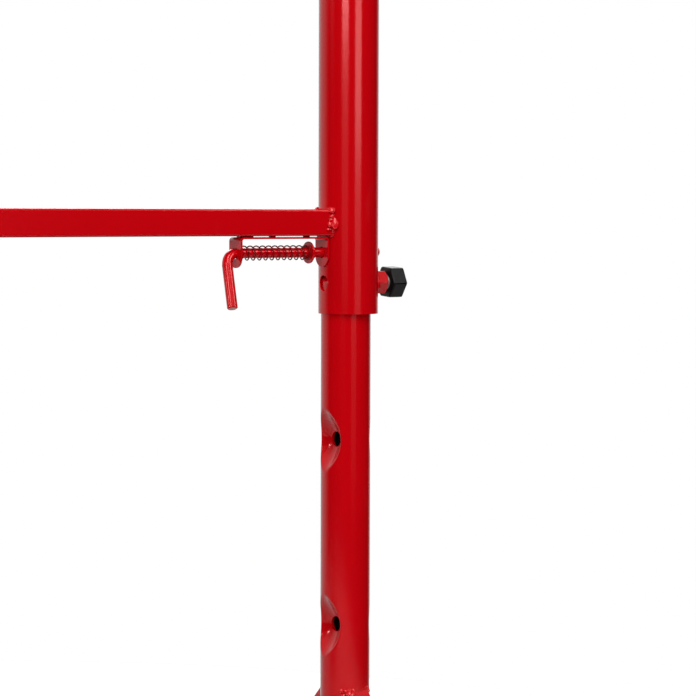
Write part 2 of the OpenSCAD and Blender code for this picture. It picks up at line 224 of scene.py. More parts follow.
def blend_colours(tree, factor, a, b):
    """Colour between a and b."""
    return add_node(tree, "ShaderNodeMix", {0: factor, 6: a, 7: b}, data_type="RGBA").outputs[2]


paper = bpy.data.materials.new("white_paper")
paper.use_nodes = True
sheet = paper.node_tree
sheet.nodes.clear()
ray = add_node(sheet, "ShaderNodeLightPath").outputs
fibres = add_node(sheet, "ShaderNodeTexNoise", {"Scale": FIBRE_SCALE})
white = blend_colours(sheet, fibres.outputs[0], *PAPER_SHADES)
tone = blend_colours(sheet, ray["Is Diffuse Ray"], white, PAPER_BOUNCE)
matt = add_node(sheet, "ShaderNodeBsdfDiffuse", {"Color": tone})
spot = add_node(sheet, "ShaderNodeTexCoord").outputs["Object"]
from_middle = add_node(sheet, "ShaderNodeVectorMath", {0: spot}, operation="LENGTH")
fade_edges = (FADE_START * FLOOR_RADIUS, FLOOR_RADIUS)
fade = soft_step(sheet, from_middle.outputs["Value"], fade_edges, 0.0, RIM_LIFT)
lift = maths(sheet, "MULTIPLY", ray["Is Camera Ray"], fade)
glow = add_node(sheet, "ShaderNodeEmission", {"Strength": lift})
both = add_node(sheet, "ShaderNodeAddShader", {0: matt.outputs[0], 1: glow.outputs[0]})
under = add_node(sheet, "ShaderNodeNewGeometry").outputs["Backfacing"]
thin = maths(sheet, "MULTIPLY", ray["Is Camera Ray"], FLOOR_CLEAR)
clear = maths(sheet, "MAXIMUM", under, thin)
nothing = add_node(sheet, "ShaderNodeBsdfTransparent")
veil = add_node(sheet, "ShaderNodeMixShader", {0: clear, 1: both.outputs[0], 2: nothing.outputs[0]})
add_node(sheet, "ShaderNodeOutputMaterial", {"Surface": veil.outputs[0]})
floor_mesh.materials.append(paper)
print("paper:", len(sheet.nodes), "nodes")

# %% [markdown]
# ## Soft lamps
# A wide lamp above the camera lights the front and throws the rail's shadow on the pin below it. Two
# upright strips each draw a band on the round tubes, and those bands tell the eye that a tube is round and
# glossy. The bands fade towards the floor, so each strip is a stack of lamps that get weaker downwards.
# Three small lamps put sparks on the edges and the welds and in the dimples, and two wide ones light the
# left and the back, where the photograph doesn't look. Area lamps suit this, because their size sets how
# soft the shadows and the bands are.

# %% Hang the lamps
LAMP_DISTANCE = 3.0
WATTS_PER_AREA = 4
# Each lamp: name, azimuth and elevation in degrees, width and height in metres, power in watts
LAMPS = [("main_box", -18, 56, 1.0, 1.6, 52), ("left_spark", -62, 31, 0.7, 0.6, 13.5),
         ("right_spark", 40, 31, 0.7, 0.6, 13.5), ("dimple_spark", -100, 18, 0.3, 0.3, 8.5),
         ("side_box", -120, 32, 2.4, 2.4, 5), ("back_box", 150, 35, 2.2, 1.6, 60)]
# Each strip: name, azimuth, width, and its lamps with the heights of their ends and their brightness
STRIPS = [("left_strip", -47, 1.25, [(1.0, 1.4, 9.5), (0.42, 1.0, 0.42)]),
          ("right_strip", 3.5, 1.25, [(0.72, 1.3, 4.3), (0.33, 0.72, 0.9), (0.0, 0.33, 0.25)])]
joint = Vector((tube_axis.x, tube_axis.y, rim_z))


def soft_box(name, azimuth, elevation, width, height, power):
    """A rectangular lamp that looks at the leg joint from a direction given in degrees."""
    lamp = bpy.data.lights.new(name, "AREA")
    lamp.shape = "RECTANGLE"
    lamp.size = width
    lamp.size_y = height
    lamp.energy = power
    way = towards(math.radians(azimuth), math.radians(elevation))
    obj = bpy.data.objects.new(name, lamp)
    obj.location = joint + LAMP_DISTANCE * way
    obj.rotation_euler = way.to_track_quat("Z", "Y").to_euler()
    bpy.context.scene.collection.objects.link(obj)


def fading_strip(name, azimuth, width, parts):
    """An upright strip of lamps, each with its own brightness."""
    for k, (low, high, brightness) in enumerate(parts):
        rise = (low + high) / 2 - joint.z
        elevation = math.degrees(math.asin(rise / LAMP_DISTANCE))
        power = WATTS_PER_AREA * brightness * width * (high - low)
        soft_box(f"{name}_{k}", azimuth, elevation, width, high - low, power)


for lamp in LAMPS:
    soft_box(*lamp)
for strip in STRIPS:
    fading_strip(*strip)

# %% [markdown]
# ## Powder skin, a shared effect
# Powder coat melts into a glossy skin that is never quite flat: it has shallow waves a millimetre or two
# apart, and its colour and gloss drift a little over a hand's width. Moulded plastic and plated steel drift
# in the same way, only at other scales. So the drift is a node group with named inputs, built once and
# placed in each material.

# %% Build the skin group
PATCH_SHIFT = (3.1, 1.7, 0.4)


def noise(tree, place, scale, detail=2.0):
    """Soft random values over the surface, about 0.3 to 0.7."""
    settings = {"Vector": place, "Scale": scale, "Detail": detail}
    return add_node(tree, "ShaderNodeTexNoise", settings).outputs[0]


def new_group(name, numbers, outputs):
    """An empty node group: its number inputs with their usual values, and its outputs."""
    group = bpy.data.node_groups.new(name, "ShaderNodeTree")
    for label, value in numbers.items():
        group.interface.new_socket(label, in_out="INPUT", socket_type="NodeSocketFloat").default_value = value
    for label in outputs:
        group.interface.new_socket(label, in_out="OUTPUT", socket_type="NodeSocketFloat")
    return group, add_node(group, "NodeGroupInput").outputs


skin, knob = new_group("surface_drift", {"Wave Scale": 500.0, "Drift Scale": 8.0},
                       ("Height", "Shade", "Gloss"))
where = add_node(skin, "ShaderNodeTexCoord").outputs["Object"]
elsewhere = add_node(skin, "ShaderNodeVectorMath", {0: where, 1: PATCH_SHIFT}).outputs[0]
waves = noise(skin, where, knob["Wave Scale"])
drift = noise(skin, where, knob["Drift Scale"], 3.0)
patches = noise(skin, elsewhere, knob["Drift Scale"], 4.0)
add_node(skin, "NodeGroupOutput", {"Height": waves, "Shade": drift, "Gloss": patches})
print("group", skin.name, "gives", [s.name for s in skin.interface.items_tree if s.in_out == "OUTPUT"])

# %% [markdown]
# ## Handling marks, a shared effect
# Pieces that are stacked and carried get fine scuffs. They are drawn here as stretched noise that is cut
# off high, so that only its ridges are left, and they touch the gloss more than the colour. The trestle
# looks new, so the marks stay faint.

# %% Build the marks group
SCUFF_TURN = (0.3, 0.7, 0.2)
SCUFF_STRETCH = (1.0, 0.12, 0.35)
SCUFF_CONTRAST = 9.0

marks, knob = new_group("handling_marks", {"Mark Scale": 60.0, "Cut": 0.66}, ("Mask",))
where = add_node(marks, "ShaderNodeTexCoord").outputs["Object"]
stretched = add_node(marks, "ShaderNodeMapping",
                     {"Vector": where, "Rotation": SCUFF_TURN, "Scale": SCUFF_STRETCH})
ridges = noise(marks, stretched.outputs[0], knob["Mark Scale"], 5.0)
above = maths(marks, "SUBTRACT", ridges, knob["Cut"])
mask = maths(marks, "MULTIPLY", above, SCUFF_CONTRAST, clamp=True)
add_node(marks, "NodeGroupOutput", {"Mask": mask})
print("group", marks.name, "gives a mask")

# %% [markdown]
# ## The five finishes
# The tubes wear a gloss red powder coat. The caps are black moulded plastic with a fine grain. The clamp
# screws are zinc plated steel, and the springs are wire with a thin coat of the red, kept darker than the
# tubes' red as painted shade on the thin wire. Powder doesn't reach far into a tube, so a fifth finish is
# the bare steel inside the legs, painted near black as shade for the dark inside of the tube. Each finish
# is one material: the two groups feed its colour, its roughness and its bump, and every number that is the
# same all over sits on the shader itself.

# %% A finish from two groups
MARK_STRENGTH = 0.05
RELIEF_DEPTH = 0.0004


def finish(name, dark, light, mark, smooth, rough, wave_scale, drift_scale, bump, metal=0.0, tint=(1, 1, 1),
           shine=0.5):
    """A material between two colours and two roughnesses, with waves and faint handling marks."""
    material = bpy.data.materials.new(name)
    material.use_nodes = True
    tree = material.node_tree
    tree.nodes.clear()
    drift = add_node(tree, "ShaderNodeGroup", node_tree=skin)
    drift.inputs["Wave Scale"].default_value = wave_scale
    drift.inputs["Drift Scale"].default_value = drift_scale
    scuffs = add_node(tree, "ShaderNodeGroup", node_tree=marks)
    colour = blend_colours(tree, drift.outputs["Shade"], (*dark, 1), (*light, 1))
    faint = maths(tree, "MULTIPLY", scuffs.outputs["Mask"], MARK_STRENGTH)
    worn = blend_colours(tree, faint, colour, (*mark, 1))
    gloss = add_node(tree, "ShaderNodeMapRange",
                     {"Value": drift.outputs["Gloss"], "To Min": smooth, "To Max": rough})
    dulled = maths(tree, "ADD", faint, gloss.outputs[0])
    relief = add_node(tree, "ShaderNodeBump",
                      {"Height": drift.outputs["Height"], "Strength": bump, "Distance": RELIEF_DEPTH})
    body = add_node(tree, "ShaderNodeBsdfPrincipled",
                    {"Base Color": worn, "Roughness": dulled, "Metallic": metal,
                     "Specular Tint": (*tint, 1), "Specular IOR Level": shine, "Normal": relief.outputs[0]})
    add_node(tree, "ShaderNodeOutputMaterial", {"Surface": body.outputs[0]})
    return material


print("each finish wears", marks.name, "at", MARK_STRENGTH)

# %% Mix the finishes
LOOKS = {
    "red_powder_coat": {
        "dark": (0.50, 0.0004, 0.003), "light": (0.60, 0.0008, 0.005), "mark": (0.60, 0.05, 0.05),
        "smooth": 0.11, "rough": 0.17, "wave_scale": 420.0, "drift_scale": 7.0, "bump": 0.05,
        "tint": (1, 0.42, 0.42)},
    "black_plastic": {
        "dark": (0.003, 0.003, 0.0032), "light": (0.006, 0.0058, 0.006), "mark": (0.06, 0.06, 0.06),
        "smooth": 0.24, "rough": 0.34, "wave_scale": 1500.0, "drift_scale": 30.0, "bump": 0.1, "shine": 0.13},
    "zinc_plated_steel": {
        "dark": (0.34, 0.33, 0.31), "light": (0.46, 0.45, 0.43), "mark": (0.25, 0.24, 0.22),
        "smooth": 0.28, "rough": 0.46, "wave_scale": 900.0, "drift_scale": 60.0, "bump": 0.08, "metal": 1.0},
    # Thin coat of the red, darker than the tubes' red: partly painted shade on the thin wire
    "spring_steel": {
        "dark": (0.16, 0.003, 0.004), "light": (0.26, 0.005, 0.007), "mark": (0.30, 0.10, 0.08),
        "smooth": 0.16, "rough": 0.28, "wave_scale": 1800.0, "drift_scale": 90.0, "bump": 0.06,
        "tint": (1, 0.5, 0.5), "shine": 0.15},
    # Bare steel inside the legs, painted near black: painted shade for the dark inside of the tube
    "bare_bore_painted_shade": {
        "dark": (0.008, 0.007, 0.007), "light": (0.02, 0.017, 0.016), "mark": (0.04, 0.03, 0.03),
        "smooth": 0.45, "rough": 0.6, "wave_scale": 900.0, "drift_scale": 40.0, "bump": 0.05, "shine": 0.2},
}

finishes = {name: finish(name, **look) for name, look in LOOKS.items()}
slot_of = {part["node"]: part["material_slot"] for part in frame["record"]["subparts"]}
for name, node in frame["nodes"].items():
    node.data.materials.clear()
    node.data.materials.append(finishes[slot_of[name]])
print("finishes:", sorted(finishes))

# %% [markdown]
# ## Soft edges
# No edge on a pressed, moulded or sawn piece is perfectly sharp, and the thin line of light along an edge
# tells what a piece is made of: a fat one for moulded plastic, a fine one for painted steel. Rounding in
# the solids would make them heavy, so a bevel modifier does it here. The solids come with split corners, so
# a weld modifier joins them first.

# %% Round the edges of the solids
EDGE_WIDTHS = {"clamp_cap": 0.0011, "beam_end_cap": 0.0012, "foot_cap": 0.0012, "clamp_nut": 0.0006,
               "pin_bracket": 0.0005, "pin_washer": 0.0004, "pin_stop_ring": 0.0006}
EDGE_SEGMENTS = 3
SEAM_GAP = 1e-6
SHARP = math.radians(35)

softened = []
for name, node in frame["nodes"].items():
    for start, width in EDGE_WIDTHS.items():
        if name.startswith(start):
            seams = node.modifiers.new("joined_seams", "WELD")
            seams.merge_threshold = SEAM_GAP
            edges = node.modifiers.new("soft_edges", "BEVEL")
            edges.width = width
            edges.segments = EDGE_SEGMENTS
            edges.angle_limit = SHARP
            edges.harden_normals = True
            softened.append(name)
print("soft edges on", len(softened), "solids")

# %% [markdown]
# ## The dimpled leg tubes
# Each leg tube is pierced every 150 mm by a cross hole for the lock pin. On the real tube a round punch
# presses the wall in on both sides before the hole is pierced, so that the pin has a short way to go and
# the rim doesn't catch. The steel is drawn in over a soft edge into a bowl that runs out to a point above
# and below, because the tube gives way more easily along its length. A cut with a ball gives a round bowl
# with a sharp rim, so the tube is made here as one skin. Each point lies on the tube or on the bowl,
# whichever is deeper, and a smooth minimum rounds the crossing of the two.

# %% A way to add pieces
MERGE_GAP = 1e-7


def add_piece(name, points, faces, body, slot, sharp_angle=60):
    """A clean mesh from points and faces, which rides on a body and wears a finish."""
    mesh = bpy.data.meshes.new(name)
    mesh.from_pydata([tuple(p) for p in points], [], faces)
    clean = bmesh.new()
    clean.from_mesh(mesh)
    bmesh.ops.remove_doubles(clean, verts=clean.verts, dist=MERGE_GAP)
    bmesh.ops.recalc_face_normals(clean, faces=clean.faces)
    open_edges = sum(not edge.is_manifold for edge in clean.edges)
    clean.to_mesh(mesh)
    clean.free()
    mesh.shade_smooth()
    mesh.set_sharp_from_angle(angle=math.radians(sharp_angle))
    mesh.materials.append(finishes[slot])
    piece = bpy.data.objects.new(name, mesh)
    bpy.context.scene.collection.objects.link(piece)
    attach(piece, body)
    print(name, len(mesh.vertices), "points, open edges:", open_edges)
    return piece


print("points closer than", MERGE_GAP, "m become one")

# %% The pressed shape of the tube
BOWL_RADIUS = 0.018
BOWL_DEPTH = 0.0123
BOWL_REACH = 0.0255
BOWL_TAPER = 1.5
RIM_BLEND = 0.0024


def smooth_least(a, b, blend):
    """The lesser of two lengths, rounded off where they come closer than blend."""
    near = max(blend - abs(a - b), 0) / blend
    return min(a, b) - near * near * blend / 4


def pressed_point(angle, z, radius, ball, holes):
    """A point of a tube skin that a punch has pressed in from both sides, along X."""
    x, y = radius * math.cos(angle), radius * math.sin(angle)
    away = abs(x)
    for hole in holes:
        taper = 1 - ((z - hole) / BOWL_REACH) ** 2
        if taper > 0 and abs(y) < ball:
            bowl = radius - BOWL_DEPTH * taper ** BOWL_TAPER + ball - math.sqrt(ball * ball - y * y)
            away = smooth_least(away, bowl, RIM_BLEND * taper)
    return Vector((math.copysign(away, x), y, z))


print("a dimple is", 1000 * BOWL_DEPTH, "mm deep and", 2000 * BOWL_REACH, "mm tall")

# %% Lay out one skin of the leg
COLUMNS = 72
PATCH_COLUMNS = 15
PATCH_ROWS = 20
PATCH_HALF_HEIGHT = 0.034
PATCH_RINGS = 24
HOLE_RADIUS = 0.00625


def patch_outline(first_row, middle_column):
    """Grid corners round a dimple's patch, one turn anticlockwise seen from outside."""
    left, right = middle_column - PATCH_COLUMNS, middle_column + PATCH_COLUMNS
    low, high = first_row, first_row + PATCH_ROWS
    return ([(c, low) for c in range(left, right)] + [(right, r) for r in range(low, high)]
            + [(c, high) for c in range(right, left, -1)] + [(left, r) for r in range(high, low, -1)])


def pressed_skin(radius, ball, holes, length):
    """One skin of a leg: its points and faces, its two end rings and the rings round its holes."""
    points, faces, corner = [], [], {}
    rows = [0.0]
    for hole in holes:
        rows += [hole + PATCH_HALF_HEIGHT * (2 * k / PATCH_ROWS - 1) for k in range(PATCH_ROWS + 1)]
    rows.append(length)
    first_rows = [1 + k * (PATCH_ROWS + 1) for k in range(len(holes))]
    middles = (0, COLUMNS // 2)

    def put(angle, z):
        points.append(pressed_point(angle, z, radius, ball, holes))
        return len(points) - 1

    def at(column, row):
        key = (column % COLUMNS, row)
        if key not in corner:
            corner[key] = put(math.tau * key[0] / COLUMNS, rows[row])
        return corner[key]

    def in_patch(column, row):
        beside = any((column - m + PATCH_COLUMNS) % COLUMNS < 2 * PATCH_COLUMNS for m in middles)
        return beside and any(first <= row < first + PATCH_ROWS for first in first_rows)

    for row in range(len(rows) - 1):
        for column in range(COLUMNS):
            if not in_patch(column, row):
                faces.append([at(column, row), at(column + 1, row),
                              at(column + 1, row + 1), at(column, row + 1)])
    hole_rings = []
    for hole, first in zip(holes, first_rows):
        for m in middles:
            rings = [[] for _ in range(PATCH_RINGS + 1)]
            for column, row in patch_outline(first, m):
                turn = math.tau * (column - m) / COLUMNS
                rise = rows[row] - hole
                way = math.atan2(rise, radius * turn)
                start_turn = math.asin(HOLE_RADIUS * math.cos(way) / radius)
                start_rise = HOLE_RADIUS * math.sin(way)
                for k in range(PATCH_RINGS):
                    share = k / PATCH_RINGS
                    angle = math.tau * m / COLUMNS + start_turn + share * (turn - start_turn)
                    rings[k].append(put(angle, hole + start_rise + share * (rise - start_rise)))
                rings[PATCH_RINGS].append(at(column, row))
            count = len(rings[0])
            for inner, outer in zip(rings, rings[1:]):
                for j in range(count):
                    n = (j + 1) % count
                    faces.append([inner[j], outer[j], outer[n], inner[n]])
            hole_rings.append(rings[0])
    ends = [[at(column, row) for column in range(COLUMNS)] for row in (0, len(rows) - 1)]
    return points, faces, ends, hole_rings


print("leg skin:", COLUMNS, "columns, patches of", PATCH_RINGS, "rings round each hole")

# %% Make the two legs
SIDES = {"right": 1, "left": -1}
LEG_WALL = 0.00195
PLUG_GAP = 0.00005
FIRST_HOLE = 0.209
HOLE_PITCH = 0.150
HOLE_COUNT = 4

for side in SIDES:
    low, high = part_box(f"leg_tube_{side}")
    leg_radius = (high.x - low.x) / 2
    base = Vector(((low.x + high.x) / 2, 0, low.z))
    holes = [FIRST_HOLE + k * HOLE_PITCH for k in range(HOLE_COUNT)]
    length = high.z - low.z - PLUG_GAP
    outer = pressed_skin(leg_radius, BOWL_RADIUS, holes, length)
    inner = pressed_skin(leg_radius - LEG_WALL, BOWL_RADIUS + LEG_WALL, holes, length)
    shift = len(outer[0])
    points = [base + p for p in outer[0] + inner[0]]
    faces = outer[1] + [[shift + i for i in reversed(face)] for face in inner[1]]
    for near, far in zip(outer[2] + outer[3], inner[2] + inner[3]):
        for j in range(len(near)):
            n = (j + 1) % len(near)
            faces.append([near[j], near[n], shift + far[n], shift + far[j]])
    leg = add_piece(f"pressed_leg_{side}", points, faces, f"leg_{side}", "red_powder_coat")
    # The inside skin wears the near-black painted shade of the bore
    leg.data.materials.append(finishes["bare_bore_painted_shade"])
    for face in leg.data.polygons[len(outer[1]):len(outer[1]) + len(inner[1])]:
        face.material_index = 1
    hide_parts(f"leg_tube_{side}")

# %% [markdown]
# ## The wound springs
# A compression spring of thin wire sits between the bracket's far ear and the washer, and pushes the pin
# home. A screw modifier could wind it, but its ends would stay open. A sweep along a helix lets the pitch
# drop to the wire's own thickness over the last three quarters of a turn, as on a real spring, whose ends
# lie flat.

# %% A sweep along a path


def sweep(path, radii, sides, closed=False, facing=None):
    """Points and faces of a round tube along a path, with one radius per path point. Its sections are turned
    from one point to the next, or all lined up with the facing direction."""
    count = len(path)
    points, faces = [], []
    normal = None
    for k, place in enumerate(path):
        before = path[k - 1] if closed or k else place
        after = path[(k + 1) % count] if closed or k < count - 1 else place
        along = (after - before).normalized()
        if facing or normal is None:
            normal = facing or along.orthogonal()
        normal = (normal - along * normal.dot(along)).normalized()
        across = along.cross(normal)
        for j in range(sides):
            turn = math.tau * j / sides
            points.append(place + radii[k] * (math.cos(turn) * normal + math.sin(turn) * across))
    last = count if closed else count - 1
    for k in range(last):
        for j in range(sides):
            a, b = k * sides + j, k * sides + (j + 1) % sides
            c, d = (b + sides) % (count * sides), (a + sides) % (count * sides)
            faces.append([a, b, c, d])
    if not closed:
        faces.append(list(range(sides))[::-1])
        faces.append([(count - 1) * sides + j for j in range(sides)])
    return points, faces


rod = sweep([Vector(), Vector((0, 0, 1))], [1, 1], 6)
print("a swept rod with six sides has", len(rod[0]), "points and", len(rod[1]), "faces")

# %% Wind the two springs
WIRE_RADIUS = 0.00055
CURLS = 11
DEAD_TURNS = 0.75
START_TURN = -0.355
STEPS_PER_TURN = 32
WIRE_SIDES = 10

for side, way in SIDES.items():
    low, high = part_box(f"pin_spring_{side}")
    axis = middle(f"pin_spring_{side}")
    coil_radius = (high.z - low.z) / 2 - WIRE_RADIUS
    length = high.x - low.x
    dead = 2 * WIRE_RADIUS * DEAD_TURNS
    pitch = (length - 2 * WIRE_RADIUS - 2 * dead) / CURLS
    turns = CURLS + 2 * DEAD_TURNS
    path = []
    for k in range(round(turns * STEPS_PER_TURN) + 1):
        t = k / STEPS_PER_TURN
        along = (2 * WIRE_RADIUS * min(t, DEAD_TURNS) + pitch * min(max(t - DEAD_TURNS, 0), CURLS)
                 + 2 * WIRE_RADIUS * max(t - DEAD_TURNS - CURLS, 0))
        turn = math.tau * (t + START_TURN)
        path.append(Vector((axis.x + way * (along + WIRE_RADIUS - length / 2),
                            axis.y + coil_radius * math.cos(turn), axis.z + coil_radius * math.sin(turn))))
    wire = sweep(path, [WIRE_RADIUS] * len(path), WIRE_SIDES)
    spring = add_piece(f"wound_spring_{side}", *wire, "frame", "spring_steel")
    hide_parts(f"pin_spring_{side}")
    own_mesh(spring)

# %% [markdown]
# ## The engaging ends of the lock pins
# The solid pin stops at the leg, so that the leg's slide and swivel can each be tried by themselves. The
# real pin runs on through both holes of the leg and shows its tip past the far wall of the outer tube. That
# end is a turned rod with a small chamfer. A lathe-like spin of its profile gives it clean rings.

# %% A spin round an axis


def spin(profile, start, axis, sides):
    """Points and faces of a turned solid. Its profile holds (distance along the axis, radius) pairs."""
    u = axis.orthogonal().normalized()
    v = axis.cross(u)
    points, faces = [], []
    for along, radius in profile:
        for j in range(sides):
            turn = math.tau * j / sides
            points.append(start + along * axis + radius * (math.cos(turn) * u + math.sin(turn) * v))
    for k in range(len(profile) - 1):
        for j in range(sides):
            a, b = k * sides + j, k * sides + (j + 1) % sides
            faces.append([a, b, b + sides, a + sides])
    faces.append(list(range(sides))[::-1])
    faces.append([(len(profile) - 1) * sides + j for j in range(sides)])
    return points, faces


cone = spin([(0, 2), (1, 1)], Vector(), Vector((0, 0, 1)), 6)
print("a spun cone with six sides has", len(cone[0]), "points and", len(cone[1]), "faces")

# %% Turn the pin ends
PIN_RADIUS = 0.004
PIN_SKIN = 0.00002
PIN_SIDES = 32
PIN_CHAMFER = 0.0008
PIN_LEAD = 0.0002
PIN_OVERLAP = 0.0012
PIN_PAST_TUBE = 0.0044
PIN_SHARP = 30

for side, way in SIDES.items():
    pin_low, pin_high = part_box(f"lock_pin_{side}")
    tube_low, tube_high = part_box(f"outer_tube_{side}")
    tip, far_wall = (pin_high.x, tube_high.x) if way > 0 else (pin_low.x, tube_low.x)
    washer = middle(f"pin_washer_{side}")
    reach = abs(far_wall - tip) + PIN_OVERLAP + PIN_PAST_TUBE
    full = PIN_RADIUS + PIN_SKIN
    profile = [(0, PIN_RADIUS - PIN_CHAMFER), (PIN_LEAD, full), (reach - PIN_CHAMFER, full),
               (reach, full - PIN_CHAMFER)]
    start = Vector((tip - way * PIN_OVERLAP, washer.y, washer.z))
    rod = spin(profile, start, Vector((way, 0, 0)), PIN_SIDES)
    add_piece(f"pin_end_{side}", *rod, f"lock_pin_{side}", "red_powder_coat", PIN_SHARP)

# %% [markdown]
# ## The threaded clamp screws
# Between the weld nut and the black knob a little of the screw's thread shows. The thread could be a
# texture, but its ridges catch the light on the outline too, so they are real. The shank is a stack of
# rings whose radius follows the helix, and the same skin runs on over the hexagon head that the knob hides.

# %% The rings of a threaded screw
SCREW_RADIUS = 0.006
THREAD_PITCH = 0.00175
THREAD_DEPTH = 0.00085
THREAD_SIDES = 48
THREAD_CREST = 1.2
RINGS_PER_PITCH = 8
HEAD_FLATS = 0.018
HEAD_HEIGHT = 0.0075
HEAD_CHAMFER = 0.001
HEAD_TURN = math.radians(4)


def hexagon_radius(turn, flats):
    """Distance from the middle of a hexagon to its outline, for a hexagon turned as the knob is."""
    return flats / 2 / math.cos((turn + HEAD_TURN + math.pi / 6) % (math.pi / 3) - math.pi / 6)


def threaded_screw(length, radius, head_at):
    """Rings of (distance, radii) for a screw that starts at its tip and ends in a hexagon head."""
    turns = [math.tau * j / THREAD_SIDES for j in range(THREAD_SIDES)]
    rings = [(0, [radius - 2 * THREAD_DEPTH] * THREAD_SIDES)]
    count = round(head_at / THREAD_PITCH * RINGS_PER_PITCH)
    for k in range(1, count):
        along = head_at * k / count
        fade = min(1, along / THREAD_PITCH)
        wave = [abs(2 * ((along / THREAD_PITCH - t / math.tau) % 1) - 1) for t in turns]
        rings.append((along, [radius - THREAD_DEPTH * (1 - fade * min(1, THREAD_CREST * w)) for w in wave]))
    head = [hexagon_radius(t, HEAD_FLATS) for t in turns]
    rings += [(head_at, [radius - THREAD_DEPTH] * THREAD_SIDES), (head_at, head),
              (length - HEAD_CHAMFER, head), (length, [min(h, HEAD_FLATS / 2) for h in head])]
    return rings, turns


print("thread:", 1000 * THREAD_PITCH, "mm a turn in", RINGS_PER_PITCH, "rings")

# %% Cut the threads
SCREW_SHARP = 35

for side, way in SIDES.items():
    low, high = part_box(f"clamp_bolt_{side}")
    tip = Vector((low.x if way > 0 else high.x, 0, (low.z + high.z) / 2))
    rings, turns = threaded_screw(high.x - low.x, SCREW_RADIUS, high.x - low.x - HEAD_HEIGHT)
    points = [tip + Vector((way * along, r * math.sin(t), r * math.cos(t)))
              for along, radii in rings for r, t in zip(radii, turns)]
    last = (len(rings) - 1) * THREAD_SIDES
    faces = [[k * THREAD_SIDES + j, k * THREAD_SIDES + (j + 1) % THREAD_SIDES,
              (k + 1) * THREAD_SIDES + (j + 1) % THREAD_SIDES, (k + 1) * THREAD_SIDES + j]
             for k in range(len(rings) - 1) for j in range(THREAD_SIDES)]
    faces += [list(range(THREAD_SIDES)), list(range(last, last + THREAD_SIDES))]
    screw = add_piece(f"threaded_screw_{side}", points, faces, f"clamp_screw_{side}", "zinc_plated_steel",
                      SCREW_SHARP)
    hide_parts(f"clamp_bolt_{side}")

# %% [markdown]
# ## Weld beads
# The frame is welded by hand, and the paint covers the beads without hiding them. A bead is a row of small
# drops that overlap. A curve with a bevel would give a smooth pipe, so each bead is swept with a radius
# that swells at every drop and wanders a little. The wander comes from a seeded generator, so each run
# gives the same beads.

# %% A lumpy bead round a closed path
import random

BEAD_STEP = 0.0006
BEAD_SIDES = 14
DROP_SPACING = 0.0034
DROP_SIZES = (0.7, 1.15)
DROP_SHIFT = 0.16
NECK, SWELL = 0.84, 0.16
ROUGHNESS = (0.96, 1.04)


def even_loop(corners, step):
    """Points at even steps round a closed path of corners."""
    ring = corners + corners[:1]
    lengths = [(b - a).length for a, b in zip(ring, ring[1:])]
    count = round(sum(lengths) / step)
    spacing = sum(lengths) / count
    points, k, passed = [], 0, 0.0
    for j in range(count):
        while passed + lengths[k] < j * spacing:
            passed += lengths[k]
            k += 1
        points.append(ring[k].lerp(ring[k + 1], (j * spacing - passed) / lengths[k]))
    return points


def bead(corners, radius, facing, luck):
    """Points and faces of a weld bead: drops that overlap, each with its own size and place."""
    path = even_loop(corners, BEAD_STEP)
    drops = round(len(path) * BEAD_STEP / DROP_SPACING)
    sizes = [luck.uniform(*DROP_SIZES) for _ in range(drops)]
    shifts = [Vector([luck.uniform(-DROP_SHIFT, DROP_SHIFT) * radius for _ in range(3)])
              for _ in range(drops)]
    radii, places = [], []
    for k, point in enumerate(path):
        at = drops * k / len(path)
        drop, share = int(at), at % 1
        after = (drop + 1) % drops
        ease = share * share * (3 - 2 * share)
        size = sizes[drop] + ease * (sizes[after] - sizes[drop])
        radii.append(radius * size * (NECK + SWELL * abs(math.cos(math.pi * share))))
        places.append(point + shifts[drop].lerp(shifts[after], ease))
    points, faces = sweep(places, radii, BEAD_SIDES, closed=True, facing=facing)
    rough = [places[i // BEAD_SIDES] + luck.uniform(*ROUGHNESS) * (p - places[i // BEAD_SIDES])
             for i, p in enumerate(points)]
    return rough, faces


print("a bead has a drop every", 1000 * DROP_SPACING, "mm")

# %% [markdown]
# ## Single drops of weld metal
# Where a weld starts, stops or turns a corner, it leaves single drops. Metaballs could melt them together,
# but the drops on the real trestle stay apart and each catches the light by itself. So each is a ball, some
# taller than wide, that is flattened towards the steel it sits on. A weld also never reaches through the
# tube's wall, because the leg has to slide in there, so points that fall into the bore are moved back out.

# %% Drops, and what keeps them out of the bore
DROP_FLATTEN = 0.68
DROP_RINGS = 12
DROP_SIDES = 20


def lump(place, radius, outwards, tall=1.0):
    """A drop of weld metal, stretched upwards and flattened towards the steel it sits on."""
    arc = [math.pi * (k + 0.5) / DROP_RINGS for k in range(DROP_RINGS)]
    profile = [(-tall * math.cos(a), math.sin(a)) for a in arc]
    points, faces = spin(profile, Vector(), Vector((0, 0, 1)), DROP_SIDES)
    centre = place + (1 - DROP_FLATTEN) * radius * outwards
    return [centre + radius * (p - DROP_FLATTEN * p.dot(outwards) * outwards) for p in points], faces


def outside_bore(points, axis, radius):
    """The same points, with those that reach into an upright tube's bore moved out into its wall."""
    moved = []
    for p in points:
        away = Vector((p.x - axis.x, p.y - axis.y, 0))
        moved.append(p + away * max(radius / away.length - 1, 0))
    return moved


def joined(parts):
    """One list of points and one of faces from several."""
    points, faces = [], []
    for part_points, part_faces in parts:
        faces += [[len(points) + i for i in face] for face in part_faces]
        points += part_points
    return points, faces


print("a drop is flattened to", round(1 - DROP_FLATTEN, 2), "of its width")

# %% The paths where tubes meet
OUTLINE_STEPS = 6
TUBE_CORNER = 0.002
CIRCLE_STEPS = 64
circle_turns = [math.tau * k / CIRCLE_STEPS for k in range(CIRCLE_STEPS)]


